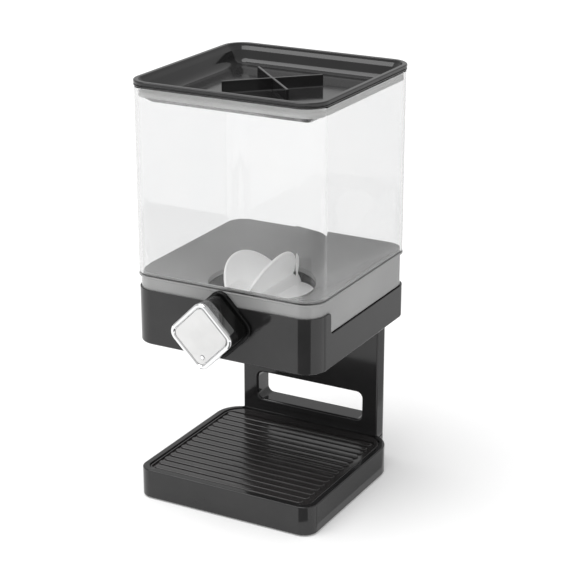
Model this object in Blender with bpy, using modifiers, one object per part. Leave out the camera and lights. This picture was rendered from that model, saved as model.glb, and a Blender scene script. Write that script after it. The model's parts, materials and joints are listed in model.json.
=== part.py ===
"""Countertop cereal dispenser: a clear canister on a black housing that stands on a column and base.

Metres, +Z up. The origin is on the table, under the paddle wheel's upright axis.
-Y is the front, where the knob is. The wheel, its shaft and the knob turn about a line along Y.
"""

import math

import bmesh
import bpy
from mathutils import Matrix, Vector

# Driving sizes.
GAP = 0.0003
BODY_Y = 0.014
CANISTER_HALF = 0.075
CANISTER_RADIUS = 0.016
CANISTER_WALL = 0.0024
SKIRT_INSET = 0.0015
HOUSING_HALF = 0.0748
HOUSING_RADIUS = 0.016
HOUSING_WALL = 0.002
FASCIA_WALL = 0.0009
BASE_HALF = 0.0729
COLUMN_HALF = 0.059
WHEEL_RADIUS = 0.039
CHAMBER_RADIUS = 0.0408
SHAFT_RADIUS = 0.004

# Levels, from the table up.
PLATE_BOTTOM = 0.0014
BASE_BOTTOM = 0.0010
BASE_CEILING = 0.0160
WELL_FLOOR = 0.0184
SEAT_TOP = 0.0203
TRAY_TOP = 0.0226
BASE_TOP = 0.0234
COLUMN_TOP = 0.1225
HOUSING_BOTTOM = 0.1228
HOUSING_FLOOR = 0.1252
DECK_TOP = 0.1480
NOTCH_TOP = 0.1480
AXLE_Z = 0.1500
CHAMBER_TOP = 0.1580
FASCIA_TOP = 0.1645
SHOULDER = 0.1739
CANISTER_TOP = 0.3117
LID_TOP = 0.3162

# Depths along Y, front to back.
KNOB_FRONT = -0.0900
HOUSING_FRONT = -0.0608
HOUSING_BACK = 0.0900
BASE_FRONT = -0.0640
BASE_BACK = 0.0740
COLUMN_FRONT = 0.0710
COLUMN_BACK = 0.0895
NOTCH_FRONT = -0.0380

# The window through the column: half width, bottom, top, corner radius.
WINDOW_HALF = 0.0459
WINDOW_LOW = 0.0337
WINDOW_HIGH = 0.0565
WINDOW_RADIUS = 0.005

CORNER_STEPS = 6
ROUND_STEPS = 48

for stale in list(bpy.data.objects):
    bpy.data.objects.remove(stale)


def collection(name):
    made = bpy.data.collections.new(name)
    bpy.context.scene.collection.children.link(made)
    return made


PARTS = collection("cereal_dispenser")
CUTTERS = collection("cutters")


def material(name, colour, roughness, metallic=0.0, alpha=1.0):
    made = bpy.data.materials.new(name)
    made.use_nodes = True
    shader = made.node_tree.nodes["Principled BSDF"]
    shader.inputs["Base Color"].default_value = (*colour, 1.0)
    shader.inputs["Roughness"].default_value = roughness
    shader.inputs["Metallic"].default_value = metallic
    shader.inputs["Alpha"].default_value = alpha
    return made


BLACK = ((0.028, 0.028, 0.030), 0.18)
CLEAR = ((0.93, 0.94, 0.95), 0.05, 0.0, 0.25)
SMOKE = ((0.36, 0.36, 0.36), 0.2, 0.0, 0.8)
WHITE_SILICONE = ((0.85, 0.85, 0.84), 0.45)
GREY_SILICONE = ((0.62, 0.62, 0.60), 0.5)
CHROME = ((0.86, 0.86, 0.87), 0.08, 1.0)
SATIN = ((0.90, 0.90, 0.90), 0.3, 0.6)
STEEL = ((0.60, 0.60, 0.62), 0.3, 1.0)
RUBBER = ((0.03, 0.03, 0.03), 0.85)
BEARING = ((0.80, 0.80, 0.78), 0.4)


def place(name, shape, look=None, matrix=None):
    """The shape as an object: a node where it has a look, and otherwise a hidden cutter."""
    mesh = bpy.data.meshes.new(name)
    shape.to_mesh(mesh)
    shape.free()
    mesh.shade_smooth()
    mesh.set_sharp_from_angle(angle=math.radians(32))
    thing = bpy.data.objects.new(name, mesh)
    thing.matrix_world = matrix or Matrix()
    if look is None:
        CUTTERS.objects.link(thing)
        thing.hide_render = True
        thing.display_type = "WIRE"
    else:
        PARTS.objects.link(thing)
        mesh.materials.append(material(name, *look))
    return thing


def block(name, low, high, look=None, radii=(0, 0), matrix=None, foot=1.0, lip=0.0):
    """A box with its front and back upright edges rounded. foot scales its underside, lip bevels it."""
    shape = bmesh.new()
    size = [b - a for a, b in zip(low, high)]
    middle = [(a + b) / 2 for a, b in zip(low, high)]
    bmesh.ops.create_cube(shape, size=1, matrix=Matrix.Diagonal((*size, 1)))
    for radius, side in zip(radii, (-1, 1)):
        edges = [
            edge
            for edge in shape.edges
            if abs(edge.verts[0].co.z - edge.verts[1].co.z) > size[2] / 2
            and all(vert.co.y * side > 0.999 * size[1] / 2 for vert in edge.verts)
        ]
        if radius:
            bmesh.ops.bevel(
                shape, geom=edges, offset=radius, segments=CORNER_STEPS, profile=0.5, affect="EDGES"
            )
    under = [vert for vert in shape.verts if vert.co.z < 0]
    bmesh.ops.scale(shape, vec=(foot, foot, 1), verts=under)
    if lip:
        rim = [edge for edge in shape.edges if all(vert.co.z < 0 for vert in edge.verts)]
        bmesh.ops.bevel(shape, geom=rim, offset=lip, segments=3, profile=0.5, affect="EDGES")
    bmesh.ops.translate(shape, vec=middle, verts=shape.verts)
    return place(name, shape, look, matrix)


def upright(name, half, radius, low, high, look=None, **more):
    """A rounded square block about the canister's centre line."""
    corners = ((-half, BODY_Y - half, low), (half, BODY_Y + half, high))
    return block(name, *corners, look, (radius, radius), **more)


def rod(name, radius, centre, start, end, look=None, axis="Z", sides=24):
    """A round bar along Z or Y, from start to end. centre is (x, y), or (x, z) for a bar along Y."""
    shape = bmesh.new()
    bmesh.ops.create_cone(
        shape, cap_ends=True, segments=sides, radius1=radius, radius2=radius, depth=abs(end - start)
    )
    middle = (start + end) / 2
    if axis == "Z":
        matrix = Matrix.Translation((*centre, middle))
    else:
        matrix = Matrix.Translation((centre[0], middle, centre[1])) @ Matrix.Rotation(math.pi / 2, 4, "X")
    return place(name, shape, look, matrix)


def turned(name, profile, look, centre=(0, 0, 0), along_y=False, steps=ROUND_STEPS):
    """A ring from a closed profile of (radius, height), outer side first, from the top down."""
    shape = bmesh.new()
    points = [shape.verts.new((radius, 0, height)) for radius, height in profile]
    for first, second in zip(points, points[1:] + points[:1]):
        shape.edges.new((first, second))
    turn = Matrix.Rotation(-math.pi / 2, 4, "X") if along_y else Matrix()
    thing = place(name, shape, look, Matrix.Translation(centre) @ turn)
    screw = thing.modifiers.new("turn", "SCREW")
    screw.steps = screw.render_steps = steps
    screw.use_merge_vertices = True
    screw.merge_threshold = 0.00001
    screw.use_smooth_shade = True
    return thing


def combine(target, operation, *others):
    for other in others:
        modifier = target.modifiers.new(other.name, "BOOLEAN")
        modifier.operation = operation
        modifier.object = other
    return target


def cut(target, *others):
    return combine(target, "DIFFERENCE", *others)


def join(target, *others):
    return combine(target, "UNION", *others)


def screw_part(name, centre, head_at, tip_at, head_radius=0.0030, head=0.0016, shank=0.0013):
    """A pan-head screw along Z whose head lies beyond head_at, away from its tip."""
    out = 1 if head_at > tip_at else -1
    body = rod(name, head_radius, centre, head_at, head_at + out * head, STEEL, sides=16)
    stem = rod(f"{name}_stem", shank, centre, head_at + out * head / 2, tip_at, sides=12)
    return join(body, stem)


# --- Base ---------------------------------------------------------------------------------------

FEET = [(-0.056, -0.047), (0.056, -0.047), (-0.044, 0.074), (0.044, 0.074)]
FOOT_NAMES = ("front_left", "front_right", "rear_left", "rear_right")
PLATE_SCREWS = [(x, y) for y in (-0.020, 0.040) for x in (-0.062, 0.062)]
COLUMN_SCREWS = [(-0.040, 0.080), (0.040, 0.080)]
WELL_MARGIN = 0.005
WELL_BACK = COLUMN_FRONT - GAP
FRONT_CORNER = 0.011
BACK_CORNER = 0.022
COLUMN_CORNER = 0.0085


def base_outline(name, inset, low, high, look=None, **more):
    """The base's plan, drawn in by inset: a rounded plate, without the block under the column."""
    return block(
        name,
        (-BASE_HALF + inset, BASE_FRONT + inset, low),
        (BASE_HALF - inset, BASE_BACK - inset, high),
        look,
        (FRONT_CORNER - inset, BACK_CORNER - inset),
        **more,
    )


def rear_block(name, inset, low, high, look=None):
    half = COLUMN_HALF - inset
    corners = ((-half, 0.050, low), (half, COLUMN_BACK - inset, high))
    return block(name, *corners, look, (0, COLUMN_CORNER - inset))


def base_shell():
    wall = 0.0025
    shell = base_outline("base_shell", 0, BASE_BOTTOM, BASE_TOP, BLACK)
    join(shell, rear_block("base_block", 0, BASE_BOTTOM + 0.0001, SEAT_TOP))
    well = block(
        "base_well",
        (-BASE_HALF + WELL_MARGIN, BASE_FRONT + WELL_MARGIN, WELL_FLOOR),
        (BASE_HALF - WELL_MARGIN, WELL_BACK, BASE_TOP + 0.002),
        radii=(FRONT_CORNER - WELL_MARGIN, BACK_CORNER - WELL_MARGIN),
    )
    seat_half = COLUMN_HALF + GAP
    seat = block("base_seat", (-seat_half, 0.066, SEAT_TOP), (seat_half, 0.091, BASE_TOP + 0.002))
    cut(shell, well, seat)
    cut(shell, base_outline("base_hollow", wall, -0.001, BASE_CEILING))
    cut(shell, rear_block("block_hollow", wall, -0.001, BASE_CEILING))
    for number, centre in enumerate(PLATE_SCREWS, 1):
        join(shell, rod(f"base_boss_{number}", 0.0036, centre, 0.0038, BASE_CEILING + 0.001, sides=16))
        cut(shell, rod(f"base_pilot_{number}", 0.0016, centre, 0.001, 0.0130, sides=12))
    for number, centre in enumerate(COLUMN_SCREWS, 1):
        cut(shell, rod(f"base_bore_{number}", 0.0021, centre, 0.014, 0.022, sides=16))


def base_plate():
    inset = 0.0025 + GAP
    plate = base_outline("base_bottom_plate", inset, PLATE_BOTTOM, 0.0034, BLACK)
    join(plate, rear_block("plate_block", inset, PLATE_BOTTOM + 0.0001, 0.0033))
    for name, centre in zip(FOOT_NAMES, FEET):
        cut(plate, rod(f"foot_recess_{name}", 0.0073, centre, 0.0, 0.0024))
        rod(f"foot_{name}", 0.0070, centre, 0.0, 0.0021, RUBBER)
    for number, centre in enumerate(PLATE_SCREWS, 1):
        cut(plate, rod(f"plate_bore_{number}", 0.0017, centre, 0.0, 0.005, sides=16))
        cut(plate, rod(f"plate_sink_{number}", 0.0034, centre, 0.0, 0.0024, sides=16))
        screw_part(f"plate_screw_{number}", centre, 0.0021, 0.0120, head=0.0006)


def ribbed_tray():
    """The lift-out tray: a plate with grooves across it that leave broad ribs."""
    inset = WELL_MARGIN + 0.0005
    tray = block(
        "ribbed_tray",
        (-BASE_HALF + inset, BASE_FRONT + inset, WELL_FLOOR + GAP),
        (BASE_HALF - inset, WELL_BACK - 0.0005, TRAY_TOP),
        BLACK,
        (FRONT_CORNER - inset, BACK_CORNER - inset),
    )
    pitch = 0.0078
    first = BASE_FRONT + 0.0095
    for number in range(15):
        y = first + number * pitch
        low = (-0.0615, y - 0.0009, TRAY_TOP - 0.0009)
        cut(tray, block(f"groove_{number + 1}", low, (0.0615, y + 0.0009, TRAY_TOP + 0.002)))


# --- Column -------------------------------------------------------------------------------------


def window(name, margin, front, back, look=None):
    """A rounded bar along Y through the column's window, margin bigger all round."""
    size_x = WINDOW_HALF + margin
    half_z = (WINDOW_HIGH - WINDOW_LOW) / 2 + margin
    middle = (WINDOW_HIGH + WINDOW_LOW) / 2
    turn = Matrix.Translation((0, 0, middle)) @ Matrix.Rotation(-math.pi / 2, 4, "X")
    radius = WINDOW_RADIUS + margin
    corners = ((-size_x, -half_z, front), (size_x, half_z, back))
    return block(name, *corners, look, (radius, radius), matrix=turn)


def column_shell():
    wall = 0.0024
    low, top = SEAT_TOP + GAP, COLUMN_TOP
    shell = block(
        "column_shell",
        (-COLUMN_HALF, COLUMN_FRONT, low),
        (COLUMN_HALF, COLUMN_BACK, top),
        BLACK,
        (0.0012, COLUMN_CORNER),
    )
    inner = block(
        "column_hollow",
        (-COLUMN_HALF + wall, COLUMN_FRONT + wall, low + wall),
        (COLUMN_HALF - wall, COLUMN_BACK - wall, top - wall),
        radii=(0, COLUMN_CORNER - wall),
    )
    mouth = block("column_mouth", (-0.0505, 0.083, low + wall), (0.0505, 0.092, top - wall))
    cut(shell, inner, mouth)
    join(shell, window("window_frame", wall, COLUMN_FRONT + 0.001, COLUMN_BACK - 0.0001))
    cut(shell, window("window_hole", 0, COLUMN_FRONT - 0.005, COLUMN_BACK + 0.005))
    for number, centre in enumerate(COLUMN_SCREWS, 1):
        join(shell, rod(f"foot_boss_{number}", 0.0045, centre, low + 0.001, 0.0290, sides=16))
        join(shell, rod(f"head_boss_{number}", 0.0045, centre, 0.1110, top - 0.001, sides=16))
        cut(shell, rod(f"foot_pilot_{number}", 0.0018, centre, low - 0.001, 0.0280, sides=12))
        cut(shell, rod(f"head_pilot_{number}", 0.0018, centre, 0.1100, top + 0.001, sides=12))
        screw_part(f"column_foot_screw_{number}", centre, BASE_CEILING - GAP, 0.0270, 0.0034)
        screw_part(f"column_head_screw_{number}", centre, HOUSING_FLOOR + GAP, 0.1130, 0.0034)


def column_cover():
    low, top = SEAT_TOP + GAP, COLUMN_TOP
    wall = 0.0024 + GAP
    cover = block(
        "column_rear_cover",
        (-0.0505 + GAP, COLUMN_BACK - 0.0022, low + wall),
        (0.0505 - GAP, COLUMN_BACK, top - wall),
        BLACK,
    )
    cut(cover, window("cover_hole", 0.0024 + GAP, COLUMN_BACK - 0.005, COLUMN_BACK + 0.005))


# --- Housing ------------------------------------------------------------------------------------

NOTCH_RADIUS = 0.0030
DECK_SCREWS = [(x, y) for y in (-0.048, 0.078) for x in (-0.064, 0.064)]
CHAMBER_SCREW_RADIUS = 0.047
DECK_THICK = 0.0022


def housing_outline(name, inset, low, high, look=None, **more):
    """The housing's plan, drawn in by inset."""
    radius = HOUSING_RADIUS - inset
    corners = (
        (-HOUSING_HALF + inset, HOUSING_FRONT + inset, low),
        (HOUSING_HALF - inset, HOUSING_BACK - inset, high),
    )
    return block(name, *corners, look, (radius, radius), **more)


def housing_shell():
    """The lower shell. Its front wall stands higher, thinned there to clear the skirt."""
    past = 0.010
    shell = housing_outline("housing_shell", 0, HOUSING_BOTTOM, FASCIA_TOP, BLACK, lip=0.0012)
    cut(shell, housing_outline("housing_hollow", HOUSING_WALL, HOUSING_FLOOR, FASCIA_TOP + past))
    cut(shell, housing_outline("fascia_rebate", FASCIA_WALL, NOTCH_TOP - GAP, FASCIA_TOP + past))
    boss_ends = (HOUSING_FRONT + FASCIA_WALL / 2, HOUSING_FRONT + HOUSING_WALL)
    join(shell, rod("bush_boss", 0.0118, (0, AXLE_Z), *boss_ends, axis="Y", sides=ROUND_STEPS))
    notch = block(
        "housing_notch",
        (NOTCH_TOP - FASCIA_TOP - past, NOTCH_FRONT, -HOUSING_HALF - past),
        (0, HOUSING_BACK + past, HOUSING_HALF + past),
        radii=(NOTCH_RADIUS, 0),
        matrix=Matrix.Translation((0, 0, NOTCH_TOP)) @ Matrix.Rotation(math.pi / 2, 4, "Y"),
    )
    cut(shell, notch)
    cut(shell, rod("outlet_hole", 0.0375, (0, 0), 0.120, 0.130, sides=ROUND_STEPS))
    cut(shell, rod("bush_hole", 0.0083, (0, AXLE_Z), -0.070, -0.055, axis="Y"))
    for number, centre in enumerate(DECK_SCREWS, 1):
        post_ends = (HOUSING_FLOOR - 0.001, DECK_TOP - DECK_THICK - GAP)
        join(shell, rod(f"deck_post_{number}", 0.0042, centre, *post_ends, sides=16))
        cut(shell, rod(f"deck_pilot_{number}", 0.0016, centre, 0.1340, DECK_TOP, sides=12))
    for number, centre in enumerate(COLUMN_SCREWS, 1):
        cut(shell, rod(f"floor_bore_{number}", 0.0021, centre, 0.120, 0.130, sides=16))
    for number, centre in enumerate(chamber_screws(), 1):
        cut(shell, rod(f"floor_pilot_{number}", 0.0016, centre, 0.120, 0.130, sides=12))


def housing_deck():
    """The plate that closes the housing's top and carries the canister's skirt."""
    inset = HOUSING_WALL + 0.0005
    deck = housing_outline("housing_deck", inset, DECK_TOP - DECK_THICK, DECK_TOP, BLACK)
    cut(deck, rod("deck_hole", 0.0434, (0, 0), 0.135, 0.150, sides=ROUND_STEPS))
    cut(deck, block("front_bush_slot", (-0.012, -0.070, 0.135), (0.012, -0.040, 0.150)))
    cut(deck, block("rear_bush_slot", (-0.012, 0.038, 0.135), (0.012, 0.052, 0.150)))
    for number, centre in enumerate(DECK_SCREWS, 1):
        cut(deck, rod(f"deck_bore_{number}", 0.0017, centre, 0.135, 0.150, sides=16))
        cut(deck, rod(f"deck_sink_{number}", 0.0034, centre, DECK_TOP - 0.0011, 0.150, sides=16))
        screw_part(f"deck_screw_{number}", centre, DECK_TOP - 0.0009, 0.1365, head=0.0007)


def chamber_screws():
    turns = [math.radians(45 + 90 * step) for step in range(4)]
    return [(CHAMBER_SCREW_RADIUS * math.cos(a), CHAMBER_SCREW_RADIUS * math.sin(a)) for a in turns]


def on_ball(radius, height):
    """How far a ball about the axle's middle reaches sideways at this height."""
    return math.sqrt(radius**2 - (height - AXLE_Z) ** 2)


def arc(radius, start, end, steps):
    """(radius, height) points on the ball, start and end given as heights."""
    first = math.asin((start - AXLE_Z) / radius)
    last = math.asin((end - AXLE_Z) / radius)
    angles = [first + (last - first) * step / steps for step in range(steps + 1)]
    return [(radius * math.cos(a), AXLE_Z + radius * math.sin(a)) for a in angles]


def wheel_chamber():
    """The bowl round the wheel, with a flange on the housing's floor and an open spout below it."""
    wall = 0.002
    outer = CHAMBER_RADIUS + wall
    spout, spout_end = 0.029, 0.1135
    flange_top, flange_low = HOUSING_FLOOR + 0.0026, HOUSING_FLOOR + GAP
    join_out = AXLE_Z - math.sqrt(outer**2 - (spout + wall) ** 2)
    join_in = AXLE_Z - math.sqrt(CHAMBER_RADIUS**2 - spout**2)
    profile = [(outer, CHAMBER_TOP)]
    profile += arc(outer, AXLE_Z, flange_top, 4)
    profile += [(0.052, flange_top), (0.052, flange_low), (on_ball(outer, flange_low), flange_low)]
    profile += arc(outer, flange_low, join_out, 2)[1:]
    profile += [(spout + wall, spout_end), (spout, spout_end)]
    profile += arc(CHAMBER_RADIUS, join_in, AXLE_Z, 6)
    profile += [(CHAMBER_RADIUS, CHAMBER_TOP)]
    chamber = turned("wheel_chamber", profile, BLACK, steps=40)
    cut(chamber, rod("chamber_front_hole", 0.0052, (0, AXLE_Z), -0.050, -0.030, axis="Y"))
    cut(chamber, rod("chamber_rear_hole", 0.0073, (0, AXLE_Z), 0.030, 0.050, axis="Y"))
    for number, centre in enumerate(chamber_screws(), 1):
        cut(chamber, rod(f"flange_bore_{number}", 0.0017, centre, 0.120, 0.133, sides=16))
        screw_part(f"chamber_screw_{number}", centre, flange_top + GAP, HOUSING_BOTTOM + 0.0004)


def bush(name, barrel, flange, ends, flange_ends, centre_y):
    """A flanged plain bearing along Y. ends and flange_ends are (front, back)."""
    bore = SHAFT_RADIUS + 0.0003
    front, back = ends
    low, high = flange_ends
    profile = [(barrel, back), (barrel, high), (flange, high), (flange, low), (barrel, low)]
    profile += [(barrel, front), (bore, front), (bore, back)]
    turned(name, profile, BEARING, centre=(0, centre_y, AXLE_Z), along_y=True, steps=24)


# --- Wheel, shaft and knob ------------------------------------------------------------------------

BLADE_TURN = math.radians(-37)
DIAMOND_TURN = Matrix.Rotation(math.pi / 4, 4, "Y") @ Matrix.Rotation(-math.pi / 2, 4, "X")


def drive_shaft():
    rod("drive_shaft", SHAFT_RADIUS, (0, AXLE_Z), -0.0740, 0.0500, STEEL, axis="Y")
    outer, inner, half = 0.0072, SHAFT_RADIUS + GAP, 0.0005
    ring = [(outer, half), (outer, -half), (inner, -half), (inner, half)]
    clip = turned("shaft_clip", ring, STEEL, centre=(0, 0.0463, AXLE_Z), along_y=True, steps=24)
    cut(clip, block("clip_mouth", (-0.0022, 0.044, AXLE_Z - 0.009), (0.0022, 0.049, AXLE_Z)))


def paddle_wheel():
    """Six half-round blades on a hub with a stiff core. Each disc gives two opposite blades."""
    length = 0.0375
    middle = (0, AXLE_Z)
    wheel = rod("paddle_wheel", 0.0090, middle, -length, length, WHITE_SILICONE, axis="Y")
    cut(wheel, rod("hub_bore", 0.0063, middle, -0.045, 0.045, axis="Y"))
    inside_hub = rod("blade_root", 0.0077, middle, -0.045, 0.045, axis="Y")
    for number in range(3):
        disc = blade_disc(number)
        cut(disc, inside_hub)
        join(wheel, disc)
    core = rod("wheel_core", 0.0060, middle, -length - 0.0008, length + 0.0008, BEARING, axis="Y")
    cut(core, rod("core_bore", SHAFT_RADIUS + GAP, middle, -0.045, 0.045, axis="Y"))


def blade_disc(number, thickness=0.0022):
    """A thin disc that stands on the axle, turned one blade further than the last."""
    shape = bmesh.new()
    bmesh.ops.create_cone(
        shape,
        cap_ends=True,
        segments=ROUND_STEPS,
        radius1=WHEEL_RADIUS,
        radius2=WHEEL_RADIUS,
        depth=thickness,
    )
    stand = Matrix.Rotation(BLADE_TURN + number * math.pi / 3 + math.pi / 2, 4, "Y")
    return place(f"blade_disc_{number + 1}", shape, None, Matrix.Translation((0, 0, AXLE_Z)) @ stand)


def diamond(name, half_diagonal, radius, front, back, look=None, front_scale=1.0):
    """A square bar along Y that stands on one rounded edge. Its front may be larger than its back."""
    side = half_diagonal / math.sqrt(2)
    return block(
        name,
        (-side, -side, front),
        (side, side, back),
        look,
        (radius, radius),
        matrix=Matrix.Translation((0, 0, AXLE_Z)) @ DIAMOND_TURN,
        foot=front_scale,
    )


def knob():
    collar_back = HOUSING_FRONT - 0.0006
    collar_front = collar_back - 0.0034
    collar = diamond("knob_collar", 0.0282, 0.0080, collar_front, collar_back, BLACK)
    cut(collar, rod("collar_bore", SHAFT_RADIUS + GAP, (0, AXLE_Z), -0.070, -0.060, axis="Y"))
    cap_back = KNOB_FRONT + 0.0110
    stem = diamond("knob_stem", 0.0254, 0.0070, cap_back + GAP, collar_front - GAP, BLACK, front_scale=1.036)
    body = diamond("knob_body", 0.0265, 0.0072, KNOB_FRONT, cap_back, CHROME, front_scale=1.028)
    recess_back = KNOB_FRONT + 0.0020
    cut(body, diamond("knob_recess", 0.0228, 0.0050, KNOB_FRONT - 0.002, recess_back))
    cut(stem, rod("knob_socket", SHAFT_RADIUS + GAP, (0, AXLE_Z), -0.0743, -0.060, axis="Y"))
    face = diamond("knob_face", 0.0224, 0.0047, KNOB_FRONT + 0.0003, recess_back - GAP, SATIN)
    mark = (0.0013, AXLE_Z - 0.0150)
    cut(face, rod("mark_hole", 0.0018, mark, KNOB_FRONT - 0.002, -0.086, axis="Y", sides=16))
    rod("knob_mark", 0.0015, mark, KNOB_FRONT, recess_back - GAP, CHROME, axis="Y", sides=16)


# --- Canister and lid -----------------------------------------------------------------------------

SKIRT_LOW = DECK_TOP + GAP
LEDGE = SHOULDER + 0.0010


def canister():
    skirt_half = CANISTER_HALF - SKIRT_INSET
    skirt_radius = CANISTER_RADIUS - SKIRT_INSET
    wall = CANISTER_WALL
    clear = upright("canister", CANISTER_HALF, CANISTER_RADIUS, SHOULDER, CANISTER_TOP, CLEAR)
    join(clear, upright("skirt", skirt_half, skirt_radius, SKIRT_LOW, SHOULDER + 0.0005))
    past = 0.010
    inner_half, inner_radius = CANISTER_HALF - wall, CANISTER_RADIUS - wall
    inner = upright("canister_inner", inner_half, inner_radius, LEDGE, CANISTER_TOP + past)
    below = upright("skirt_inner", skirt_half - wall, skirt_radius - wall, SKIRT_LOW - past, LEDGE + 0.001)
    cut(clear, inner, below)
    cut(clear, block("skirt_slot", (-0.013, -0.064, 0.140), (0.013, -0.050, AXLE_Z)))
    cut(clear, rod("skirt_arch", 0.013, (0, AXLE_Z), -0.064, -0.050, axis="Y"))


def square_ring(half, radius, height, per_corner=8, per_side=8):
    """Points round a rounded square about the canister's centre line, from its +X side."""
    ring = []
    for corner in range(4):
        turn = Matrix.Rotation(corner * math.pi / 2, 2)
        inner = half - radius
        for step in range(per_side // 2):
            side_y = inner * step / (per_side // 2)
            ring.append(turn @ Vector((half, side_y)))
        for step in range(per_corner):
            angle = math.pi / 2 * step / per_corner
            ring.append(turn @ Vector((inner + radius * math.cos(angle), inner + radius * math.sin(angle))))
        for step in range(per_side // 2):
            side_x = inner * (1 - step / (per_side // 2))
            ring.append(turn @ Vector((side_x, half)))
    return [(point.x, point.y + BODY_Y, height) for point in ring]


def round_ring(radius, height, count):
    angles = [2 * math.pi * step / count for step in range(count)]
    return [(radius * math.cos(angle), radius * math.sin(angle), height) for angle in angles]


def funnel():
    """A tray that slopes on four sides from the canister's wall to the round throat."""
    ledge_half = CANISTER_HALF - CANISTER_WALL - GAP
    ledge_radius = CANISTER_RADIUS - CANISTER_WALL - GAP
    under_half = CANISTER_HALF - SKIRT_INSET - CANISTER_WALL - GAP
    under_radius = CANISTER_RADIUS - SKIRT_INSET - CANISTER_WALL - GAP
    rim_top, rim_low = LEDGE + 0.0022, LEDGE + GAP
    throat, throat_out, throat_low = 0.0402, 0.0422, CHAMBER_TOP + 0.0008
    top = square_ring(ledge_half, ledge_radius, rim_top)
    count = len(top)
    rings = [
        top,
        round_ring(throat + 0.0012, 0.1629, count),
        round_ring(throat, 0.1617, count),
        round_ring(throat, throat_low, count),
        round_ring(throat_out, throat_low, count),
        round_ring(throat_out, 0.1612, count),
        square_ring(under_half, under_radius, rim_low),
        square_ring(ledge_half, ledge_radius, rim_low),
    ]
    shape = bmesh.new()
    loops = [[shape.verts.new(point) for point in ring] for ring in rings]
    for first, second in zip(loops, loops[1:] + loops[:1]):
        for step in range(count):
            after = (step + 1) % count
            shape.faces.new((first[step], first[after], second[after], second[step]))
    bmesh.ops.recalc_face_normals(shape, faces=shape.faces)
    place("funnel", shape, SMOKE)


def lid():
    """A cover with a sunk top and a cross grip. Its gasket sits round it, with a tongue in a groove."""
    rim_low = CANISTER_TOP + GAP
    plug_half, plug_radius, plug_low, foot_low = 0.0706, 0.0116, 0.3045, 0.3000
    shell = upright("lid", CANISTER_HALF + 0.0006, 0.0166, rim_low, LID_TOP, BLACK)
    join(shell, upright("lid_plug", plug_half, plug_radius, plug_low, rim_low + 0.001))
    join(shell, upright("lid_foot", plug_half, plug_radius, foot_low, plug_low + 0.0001, foot=0.885))
    top_half, floor_half, floor = 0.0714, 0.0640, 0.3020
    cut(shell, upright("lid_recess", top_half, 0.0125, floor, LID_TOP + 0.0001, foot=floor_half / top_half))
    tongue, tongue_low, tongue_high = 0.0010, 0.3070, 0.3090
    groove = upright("lid_groove", plug_half + 0.002, plug_radius, tongue_low - GAP, tongue_high + GAP)
    groove_half, groove_radius = plug_half - tongue, plug_radius - tongue
    cut(groove, upright("groove_core", groove_half, groove_radius, foot_low, LID_TOP))
    cut(shell, groove)
    arm, half_thick, grip_top = 0.0372, 0.0010, 0.3110
    corners = ((-arm, -half_thick, floor - 0.001), (arm, half_thick, grip_top))
    for number, turn in enumerate((-45, 45), 1):
        matrix = Matrix.Translation((0, BODY_Y, 0)) @ Matrix.Rotation(math.radians(turn), 4, "Z")
        join(shell, block(f"grip_{number}", *corners, matrix=matrix))
    gasket_half = CANISTER_HALF - CANISTER_WALL - GAP
    gasket = upright("lid_gasket", gasket_half, 0.0133, plug_low + GAP, rim_low - GAP, GREY_SILICONE)
    bore = (plug_half + GAP, plug_radius + GAP)
    cut(gasket, upright("gasket_bore_low", *bore, foot_low, tongue_low))
    cut(gasket, upright("gasket_bore_high", *bore, tongue_high, LID_TOP))
    cut(gasket, upright("tongue_bore", groove_half + GAP, groove_radius + GAP, foot_low, LID_TOP))


base_shell()
base_plate()
ribbed_tray()
column_shell()
column_cover()
housing_shell()
housing_deck()
wheel_chamber()
bush("front_bush", 0.0080, 0.0100, (-0.0018, 0.0030), (0.0003, 0.0018), HOUSING_FRONT + HOUSING_WALL)
bush("rear_bush", 0.0070, 0.0095, (-0.0028, 0.0022), (0.0003, 0.0018), CHAMBER_RADIUS + 0.0020)
drive_shaft()
paddle_wheel()
knob()
canister()
funnel()
lid()
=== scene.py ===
"""Looks of the cereal dispenser: fine meshes, materials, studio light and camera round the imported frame."""

import json
import math

import bmesh
import bpy
from mathutils import Matrix, Vector


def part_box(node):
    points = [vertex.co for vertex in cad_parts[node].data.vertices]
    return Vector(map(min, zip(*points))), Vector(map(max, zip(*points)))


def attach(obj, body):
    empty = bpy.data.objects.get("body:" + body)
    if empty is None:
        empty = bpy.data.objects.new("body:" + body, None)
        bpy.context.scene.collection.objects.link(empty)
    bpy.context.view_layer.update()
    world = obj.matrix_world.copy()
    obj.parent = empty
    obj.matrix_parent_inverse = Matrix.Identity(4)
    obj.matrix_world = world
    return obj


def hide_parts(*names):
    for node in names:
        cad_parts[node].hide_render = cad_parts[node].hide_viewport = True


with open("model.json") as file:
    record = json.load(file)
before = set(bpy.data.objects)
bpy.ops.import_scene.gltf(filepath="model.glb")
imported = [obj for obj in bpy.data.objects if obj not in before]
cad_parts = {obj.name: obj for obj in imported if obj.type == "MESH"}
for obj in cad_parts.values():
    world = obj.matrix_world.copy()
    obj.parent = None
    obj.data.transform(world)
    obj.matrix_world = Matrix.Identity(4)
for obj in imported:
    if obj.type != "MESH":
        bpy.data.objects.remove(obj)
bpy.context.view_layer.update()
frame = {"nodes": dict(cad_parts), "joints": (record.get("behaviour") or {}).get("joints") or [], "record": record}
MM = 0.001


# --- Sizes read from the frame --------------------------------------------------------------------


def span(node):
    """Lowest and highest corner of a CAD node, as two vectors."""
    low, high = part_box(node)
    return Vector(low), Vector(high)


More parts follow.
